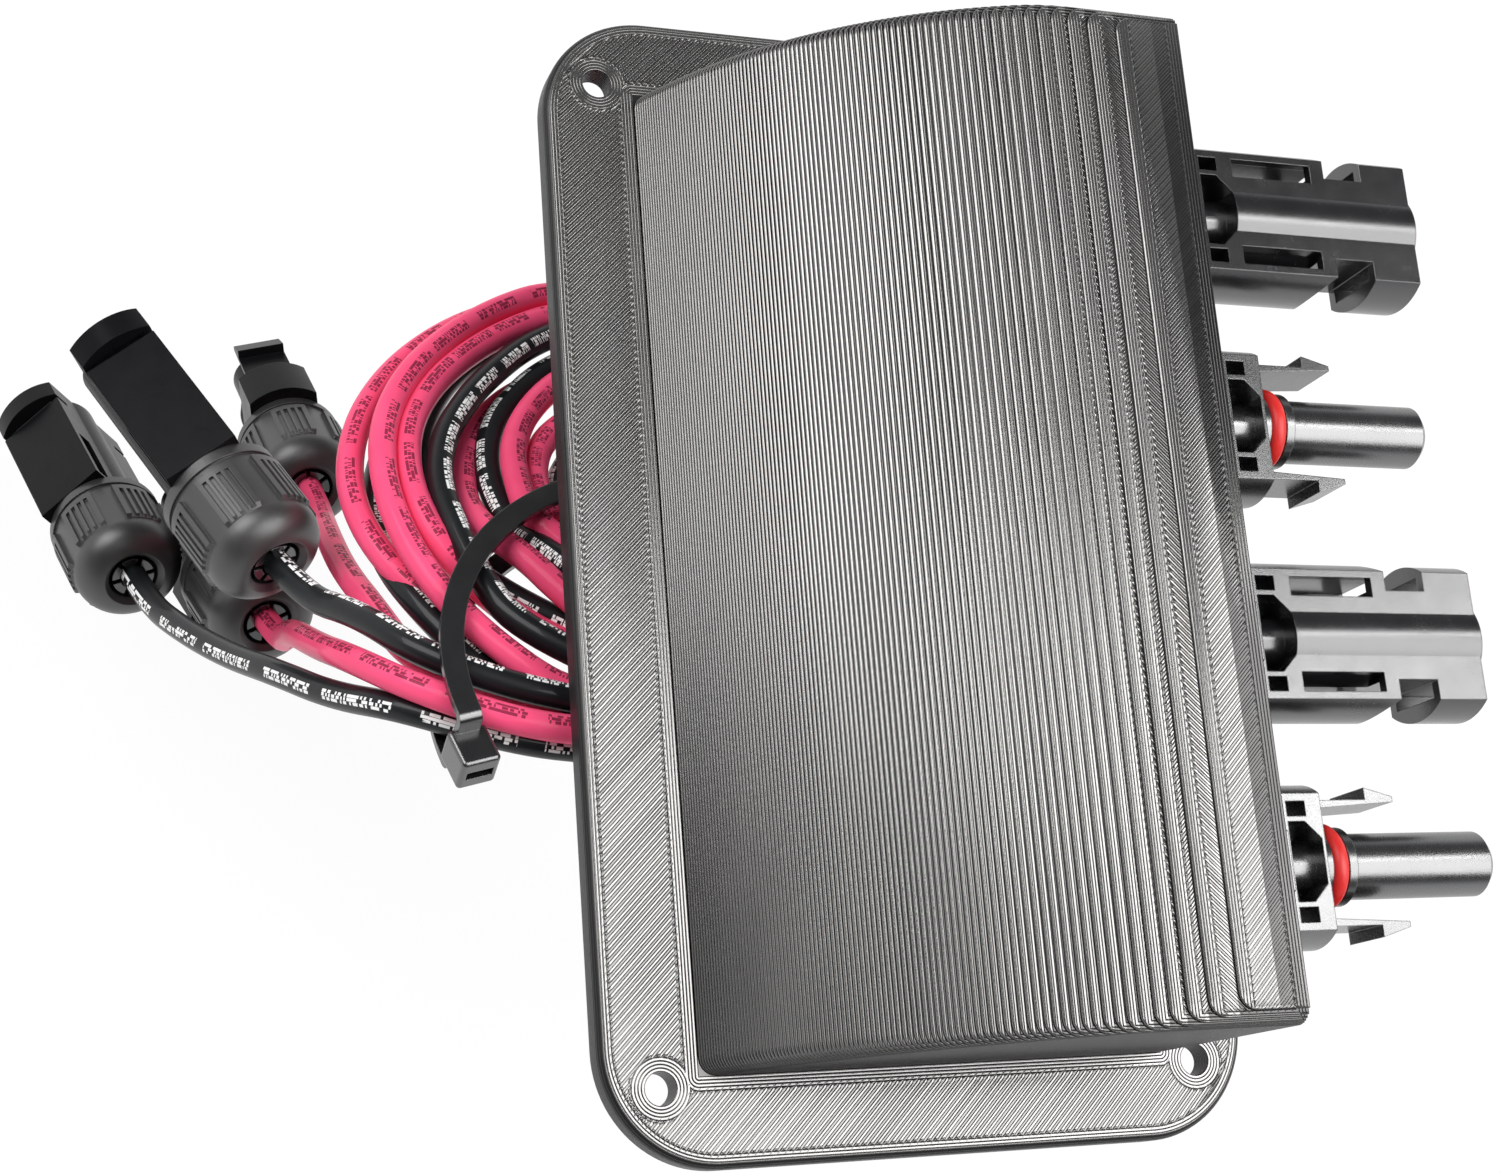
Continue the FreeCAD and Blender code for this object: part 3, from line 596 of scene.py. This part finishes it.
def hood_form(inset, foot, steps, stepped):
    """Hood's form in horizontal slices: a stair of printed layers, or smooth."""
    half_y = HOOD_HALF[1] - inset
    front = HOOD_HALF[0] - inset
    top = HOOD_TOP - inset
    left = crest_at(FLANGE_THICKNESS, inset)
    bm = bmesh.new()
    bmesh.ops.create_grid(bm, x_segments=1, y_segments=1, size=1.0)
    for vert in bm.verts:
        vert.co = (front if vert.co.x > 0 else left, half_y if vert.co.y > 0 else -half_y, foot)
    corners = [vert for vert in bm.verts if vert.co.x < 0]
    bmesh.ops.bevel(bm, geom=corners, offset=HOOD_CORNER, segments=HOOD_CORNER_SEGMENTS, profile=0.5,
                    affect="VERTICES", material=-1)

    def raise_loop(loop, up, shift, draw):
        """Extrudes the loop: all but its front moves along X, and its ends draw in."""
        grown = bmesh.ops.extrude_edge_only(bm, edges=loop)["geom"]
        verts = [item for item in grown if isinstance(item, bmesh.types.BMVert)]
        back = [vert for vert in verts if vert.co.x < front - NEAR]
        bmesh.ops.translate(bm, vec=(0, 0, up), verts=verts)
        bmesh.ops.translate(bm, vec=(shift, 0, 0), verts=back)
        for side in (-1, 1):
            ends = [vert for vert in verts if vert.co.y * side > 0]
            bmesh.ops.translate(bm, vec=(0, -side * draw, 0), verts=ends)
        return [item for item in grown if isinstance(item, bmesh.types.BMEdge)]

    loop = raise_loop(list(bm.edges), FLANGE_THICKNESS - foot, 0.0, 0.0)
    rise = (top - FLANGE_THICKNESS) / steps
    x = left
    drawn = 0.0
    for step in range(steps):
        z = FLANGE_THICKNESS + rise * (step + 1)
        if stepped:
            middle = z - rise / 2
            shift = crest_at(middle, inset) - x
            draw = end_round_at(middle, inset) - drawn
            drawn += draw
            dent = 0.0 if step else BEAD_DRAW
            loop = raise_loop(loop, 0.0, shift + dent, draw + dent)
            for share, bulge in BEAD_STEPS:
                loop = raise_loop(loop, rise * share, -BEAD_DRAW * bulge, -BEAD_DRAW * bulge)
        else:
            shift = crest_at(z, inset) - x
            loop = raise_loop(loop, rise, shift, 0.0)
        x += shift
    bmesh.ops.holes_fill(bm, edges=loop, sides=0)
    return bm


def flange_form():
    """Flat plate with round corners and a rounded rim."""
    bm = bmesh.new()
    bmesh.ops.create_cube(bm, size=1.0)
    bmesh.ops.scale(bm, vec=(2 * FLANGE_HALF[0], 2 * FLANGE_HALF[1], FLANGE_THICKNESS), verts=bm.verts)
    bmesh.ops.translate(bm, vec=(0, 0, FLANGE_THICKNESS / 2), verts=bm.verts)
    shaded_walls = [edge for edge in bm.edges if abs(edge.verts[0].co.z - edge.verts[1].co.z) > NEAR]
    bmesh.ops.bevel(bm, geom=shaded_walls, offset=FLANGE_CORNER, segments=CORNER_SEGMENTS, profile=0.5,
                    affect="EDGES", material=-1)
    rim = [edge for edge in bm.edges if all(vert.co.z > FLANGE_THICKNESS - NEAR for vert in edge.verts)]
    bmesh.ops.bevel(bm, geom=rim, offset=FLANGE_ROUND, segments=ROUND_SEGMENTS, profile=0.5,
                    affect="EDGES", material=-1)
    return bm


def hollow():
    """Inside of the hood, for cutting."""
    return keep_mesh(hood_form(HOOD_WALL, HOLLOW_FOOT, HOLLOW_STEPS, False), "hollow", None)


def make_housing(material):
    """Printed hood on its flange, hollow from below."""
    layers = round(HOOD_HEIGHT / LAYER)
    form = hood_form(0.0, FLANGE_THICKNESS - HOOD_SINK, layers, True)
    hood = keep_mesh(form, "hood_layers", material, HOOD_SHARP)
    flange = keep_mesh(flange_form(), "flange", material, FLANGE_SHARP)
    corners = [(a * SCREW_AT[0], b * SCREW_AT[1]) for a in (-1, 1) for b in (-1, 1)]
    holes = [rod("hole", SCREW_HOLE, *((x, y, z) for z in SCREW_CUT)) for x, y in corners]
    cut_away(flange, holes + [hollow()])
    threads = [rod("thread", THREAD_HOLE, *((HOOD_HALF[0] + reach, y, ROW_Z) for reach in THREAD_CUT))
               for y in ROW_Y]
    cut_away(hood, threads + [hollow()])
    for piece in (hood, flange):
        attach(piece, "root")
        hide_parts("housing")


# Leads. Places along each are in millimetres, those in the coil as angle, radius and height in its plane.

COIL_CENTER = Vector((-23.0, 18.75, -27.4))
COIL_TILT = math.radians(24.0)

VISIBLE = (240, 225, 210, 195, 180, 165, 150, 135, 120, 105)
HIDDEN = (75, 45, 15, -15, -45, -75, -100)

# Radius and height at each visible angle of every pass round the coil
PASSES = {
    "i": ((19.5, 0), (18.5, -1), (18.5, -1), (19.3, 0), (20, 0),
          (20.7, 0), (21, 0), (20.7, 0), (20.5, 0), (20.5, 0)),
    "h": ((22, 0.5), (20.5, 1.2), (21.2, 1.8), (23.6, 2.2), (23.6, 2.2),
          (24.5, 2.2), (25, 2.2), (25.5, 2.2), (26.5, 2.2), (27.5, 2.2)),
    "g": ((26, 2.2), (24.5, 2.2), (24.2, 1.6), (25.6, -0.8), (26.6, -1.0),
          (27.9, -1.0), (29.1, -0.9), (29.7, -0.6), (31, -0.6), (32.5, -0.6)),
    "f": ((30.5, 2.2), (28.8, 2.2), (28.3, 2.2), (30.3, 0.6), (31.0, -2.2),
          (31.2, -2.4), (31.4, -2.8), (31.8, -3.6), (32, -4.2), (33, -4.4)),
    "e": ((41.8, 3.2), (39.5, 2.8), (36.8, 2.3), (35.5, 2.2), (35.8, 2.2),
          (35.2, 2.2), (34.2, 2.2), (34.0, 2.2), (35.1, 2.2), (36.3, 2.2)),
    "d": ((29.5, -2.2), (30.5, -2.2), (33, -2.2), (36.5, -2.2), (38, -2.2),
          (38.8, -2.2), (39.6, -2.2), (40.4, -2.2), (40.8, -2.2), (41, -2.2)),
    "c": ((33, -2.2), (34, -2.0), (36, -1.2), (39, 1.6), (40.1, 1.8),
          (40.7, 1.8), (40.2, 1.8), (39.5, 1.8), (39.5, 1.8), (40.2, 1.8)),
    "b": ((45, 2.0), (43.9, 2.2), (43.6, 2.2), (43.8, 2.4), (44.3, 2.9),
          (44.5, 2.9), (43.9, 2.9), (43.2, 2.9), (43.4, 2.9), (44.4, 2.6)),
    "a": ((41, -2.2), (41.4, -2.2), (42.6, -2.2), (46, -2.2), (48.4, -2.2),
          (48.6, -2.0), (47.8, -1.8), (47.1, -1.8), (46.8, -2.0), (46.3, -2.2)),
    "j": ((46.5, -2.2), (45.6, -2.0), (45.2, -1.8), (45.3, -3.6), (44.6, -6.2),
          (43.6, -6.4), (43, -6.4), (43, -6.4), (43.4, -6.4), (44, -6.4)),
    "k": ((15.5, -1), (15.5, -1.5), (15.5, -2), (16, -2.4), (16.2, -2.6),
          (16.4, -2.6), (16.4, -2.6), (16.4, -2.4), (16.4, -2), (16.6, -1.5)),
}

# Row in the face, passes in order, route down from the face, entry to the coil, places under the strap
# and the tail from the strap to the end connector
LEADS = {
    "minus_inner": (
        0, "ej",
        [(3.0, 48.0, 21.4), (-8.5, 47.0, 15.5), (-14.5, 45.5, 3.5), (-15.5, 44.5, -10.5),
         (-14.0, 44.0, -23.0)],
        [(65, 33, 3.5), (38, 34, 2.5), (10, 34, 2.2), (-18, 35, 2.2), (-46, 37, 2.2), (-74, 39, 2.4),
         (-100, 41, 3.0)],
        [(-16.0, -41.3, 2.2), (-29.0, -38.4, 2.2), (-42.5, -32.3, 2.2)],
        [(-72.0, -1.5, -22.0)],
    ),
    "plus_inner": (
        1, "hfb",
        [(4.0, 16.0, 21.4), (-6.0, 15.0, 16.5), (-10.0, 11.5, 6.0), (-8.0, 6.5, -5.0), (-8.5, 1.0, -12.0),
         (-14.0, -2.2, -16.2)],
        [(-90, 23.6, 1.0), (-108, 22.8, 0.8)],
        [(-15.5, -41.6, -2.2), (-28.8, -38.6, -2.2), (-42.8, -29.8, -2.2)],
        [(-68.0, 1.0, -29.5), (-70.0, 11.0, -43.0), (-70.0, 21.0, -56.5), (-68.5, 29.0, -71.0)],
    ),
    "minus_outer": (
        2, "kgd",
        [(4.0, -16.0, 21.4), (-7.0, -15.5, 16.0), (-14.0, -15.0, 5.5), (-17.5, -14.5, -5.5)],
        [(-70, 25, 4.5), (-92, 20, 3.0), (-108, 16.5, 0.5)],
        [(-16.0, -46.0, -2.2), (-29.5, -44.3, -2.2), (-45.0, -38.3, -2.2)],
        [(-75.0, -12.5, -27.0), (-81.0, -6.0, -39.5), (-86.0, 0.0, -53.5), (-91.5, 7.5, -66.5)],
    ),
    "plus_outer": (
        3, "ica",
        [(4.0, -47.0, 21.4), (-7.5, -43.0, 17.0), (-16.0, -35.5, 10.0), (-20.0, -26.0, 2.0)],
        [(-93, 33, 3.6), (-104, 23, 1.5)],
        [(-16.0, -46.3, 2.2), (-29.5, -44.6, 2.2), (-43.6, -38.6, 2.3)],
        [(-74.0, -8.0, -21.5), (-75.0, -2.5, -37.5), (-77.0, 4.5, -53.5)],
    ),
}

# Mouth of each end connector's gland nut and the direction from it to the nose
END_PLACES = {
    "minus_outer": ((-97.1, 20.5, -83.6), (-0.215, 0.74, -0.635)),
    "minus_inner": ((-80.9, 9.3, -36.5), (-0.425, 0.805, -0.41)),
    "plus_inner": ((-66.4, 39.2, -90.9), (-0.10, 0.73, -0.67)),
    "plus_outer": ((-76.6, 10.6, -74.6), (-0.22, 0.70, -0.68)),
}

# Straight run at both ends of a lead: how deep it goes into the end connector and where it begins
# before it, then the same two places along X behind the face
CRIMP_INSIDE = 8.0
TAIL_STRAIGHT = 6.5
FACE_CRIMP_X = 26.0
FACE_STRAIGHT_X = 16.0


def in_coil(u, v, height):
    """Point given in the coil's middle plane and its height over that plane."""
    return COIL_CENTER + Vector((
        u,
        v * math.cos(COIL_TILT) + height * math.sin(COIL_TILT),
        height * math.cos(COIL_TILT) - v * math.sin(COIL_TILT),
    ))


def pass_points(*places):
    """Points of a pass round the coil."""
    found = []
    for angle, radius, height in places:
        turn = math.radians(angle)
        found.append(in_coil(radius * math.cos(turn), radius * math.sin(turn), height))
    return found


def lead_points(name):
    """Whole route of a lead, from its contact in the face to the one in its end connector."""
    row, order, down, entry, under_strap, tail = LEADS[name]
    points = [Vector((x, ROW_Y[row], ROW_Z)) for x in (FACE_CRIMP_X, FACE_STRAIGHT_X)]
    points += [Vector(place) for place in down] + pass_points(*entry)
    for index, letter in enumerate(order):
        table = PASSES[letter]
        # The entry to the coil takes the place of the first pass's first point
        start = 0 if index else 1
        points += pass_points(*((VISIBLE[at], *table[at]) for at in range(start, len(VISIBLE))))
        if index + 1 < len(order):
            goal = PASSES[order[index + 1]][0]
        else:
            u, v, height = under_strap[0]
            goal = (math.hypot(u, v), height)
        for step, angle in enumerate(HIDDEN):
            share = (step + 1) / (len(HIDDEN) + 1)
            radius, height = [here + (there - here) * share for here, there in zip(table[-1], goal)]
            points += pass_points((angle, radius, height))
    points += [in_coil(*place) for place in under_strap] + [Vector(place) for place in tail]
    mouth, axis = END_PLACES[name]
    along = Vector(axis).normalized()
    points += [Vector(mouth) - along * TAIL_STRAIGHT, Vector(mouth) + along * CRIMP_INSIDE]
    return points


def measured(curve):
    """Length of a curve's line, in metres."""
    bevel = curve.data.bevel_depth
    curve.data.bevel_depth = 0.0
    bpy.context.view_layer.update()
    graph = bpy.context.evaluated_depsgraph_get()
    line = bpy.data.meshes.new_from_object(curve.evaluated_get(graph))
    ends = [[line.vertices[index].co for index in edge.vertices] for edge in line.edges]
    total = sum((a - b).length for a, b in ends)
    bpy.data.meshes.remove(line)
    curve.data.bevel_depth = bevel
    return total


def make_lead(name):
    """One lead as a smooth round cord."""
    data = bpy.data.curves.new("lead_" + name, "CURVE")
    data.dimensions = "3D"
    data.bevel_depth = LEAD_DIAMETER / 2 * MM
    data.bevel_resolution, data.resolution_u = LEAD_DIVISIONS
    data.use_fill_caps = True
    points = lead_points(name)
    spline = data.splines.new("NURBS")
    spline.points.add(len(points) - 1)
    for point, place in zip(spline.points, points):
        point.co = (*(place * MM), 1.0)
    spline.order_u = LEAD_ORDER
    spline.use_endpoint_u = True
    lead = bpy.data.objects.new("lead_" + name, data)
    bpy.context.collection.objects.link(lead)
    run = measured(lead)
    shade = "pink" if name.startswith("plus") else "black"
    data.materials.append(lead_finish(f"{shade}_{name}", *LEAD_TONES[shade], run / MM))
    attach(lead, "root")
    shade + "_lead"
    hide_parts(f"lead_{name}_inner_run", f"lead_{name}_tail", "lead_coil")
    start = tuple(points[0] * MM)


# Studio, in metres and watts

CAMERA_PLACE = (-0.13393, -0.09028, 0.30208)
CAMERA_RIGHT = (0.940851, -0.074180, 0.330601)
CAMERA_UP = (-0.019437, 0.962316, 0.271240)
CAMERA_BACK = (-0.338263, -0.261622, 0.903954)
CAMERA_LENS = 56.60
CAMERA_SENSOR = 36.0
CAMERA_SHIFT = (0.0026, 0.0006)
CAMERA_NEAREST = 0.01

# Name, place, what it is aimed at, size and watts of each lamp
LAMPS = (
    ("key", (0.36, -0.14, 0.74), (0.02, 0.0, 0.02), (0.56, 1.02), 8.2),
    ("left", (-0.55, 0.33, 0.55), (-0.02, 0.02, 0.02), (0.5, 0.6), 5.2),
    ("window", (0.58, 0.16, 0.74), (0.07, 0.0, 0.02), (0.10, 0.42), 1.2),
)

FLOOR_HALF = 2.5
FLOOR_Z = -0.14
FLOOR_TONES = ((0.80, 0.80, 0.80), (0.84, 0.84, 0.84))
FLOOR_GRAIN = 0.4
FLOOR_ROUGH = 0.7
FLOOR_GLOW = 1.04
GLOW_SHARE = 0.9

# Room's light: its colour, the heights in the view between which it fades, and its strength at both
ROOM_TONE = (0.97, 0.99, 1.0, 1.0)
ROOM_FADE = (0.05, 0.34)
ROOM_LIGHT = (0.95, 0.10)


def add_camera():
    """Camera where the photograph was taken from."""
    data = bpy.data.cameras.new("camera")
    data.lens = CAMERA_LENS
    data.sensor_width = CAMERA_SENSOR
    data.shift_x, data.shift_y = CAMERA_SHIFT
    data.clip_start = CAMERA_NEAREST
    camera = bpy.data.objects.new("camera", data)
    bpy.context.collection.objects.link(camera)
    turn = Matrix((CAMERA_RIGHT, CAMERA_UP, CAMERA_BACK)).transposed().to_4x4()
    camera.matrix_world = Matrix.Translation(CAMERA_PLACE) @ turn
    bpy.context.scene.camera = camera


def add_lamp(name, place, target, size, power):
    """Soft rectangular lamp aimed at a point."""
    data = bpy.data.lights.new(name, "AREA")
    data.shape = "RECTANGLE"
    data.size, data.size_y = size
    data.energy = power
    lamp = bpy.data.objects.new(name, data)
    bpy.context.collection.objects.link(lamp)
    aim = (Vector(target) - Vector(place)).to_track_quat("-Z", "Y")
    lamp.matrix_world = Matrix.Translation(Vector(place)) @ aim.to_matrix().to_4x4()


def add_floor():
    """Pale floor that shows white to the camera."""
    floor = bmesh.new()
    bmesh.ops.create_grid(floor, x_segments=1, y_segments=1, size=FLOOR_HALF / MM)
    bmesh.ops.translate(floor, vec=(0, 0, FLOOR_Z / MM), verts=floor.verts)
    finish = Finish("floor")
    grain = finish.noise(finish.vector(*finish.place()), FLOOR_GRAIN)
    finish.set(Base_Color=finish.shade(grain, *FLOOR_TONES), Roughness=FLOOR_ROUGH)
    finish.glow_where_seen(FLOOR_GLOW, GLOW_SHARE)
    keep_mesh(floor, "floor", finish.material)


def add_room():
    """Light from all round, bright at the horizon and dim overhead."""
    world = bpy.data.worlds.new("studio")
    bpy.context.scene.world = world
    tree = Tree(world)
    toward = tree.node("ShaderNodeTexCoord", {}).out("Generated")
    upward = tree.node("ShaderNodeSeparateXYZ", {}, toward).out("Z")
    fade = {"interpolation_type": "SMOOTHSTEP"}
    light = tree.node("ShaderNodeMapRange", fade, upward, *ROOM_FADE, *ROOM_LIGHT)
    room = tree.nodes["Background"]
    tree.link(ROOM_TONE, room.inputs["Color"])
    tree.link(light, room.inputs["Strength"])


# Build

bpy.context.scene.view_settings.view_transform = "Standard"
add_camera()
add_floor()
add_room()
for lamp_row in LAMPS:
    add_lamp(*lamp_row)
make_housing(print_finish())
for lead_name in LEADS:
    make_lead(lead_name)


def node_finish(name):
    """Name of the finish of a carried-over node."""
    if name.endswith("seal_ring"):
        return "red_rubber" if name.startswith("face") else "black_rubber"
    if name.endswith("face_seal"):
        return "black_rubber"
    if name.endswith("contact"):
        return "tinned_metal"
    if name.endswith("gland_nut"):
        return "nut_plastic"
    if name == "cable_tie":
        return "tie_nylon"
    if name.startswith("face_plug") and name.endswith("shell"):
        return "plug_plastic"
    if name.startswith("end") and name.endswith("shell"):
        return "end_shell_plastic"
    return "connector_plastic"


finishes = {name: moulded_finish(name, *row) for name, row in MOULDED.items()}
finishes["tinned_metal"] = metal_finish()
for node_name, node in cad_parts.items():
    node.data.materials.clear()
    node.data.materials.append(finishes[node_finish(node_name)])
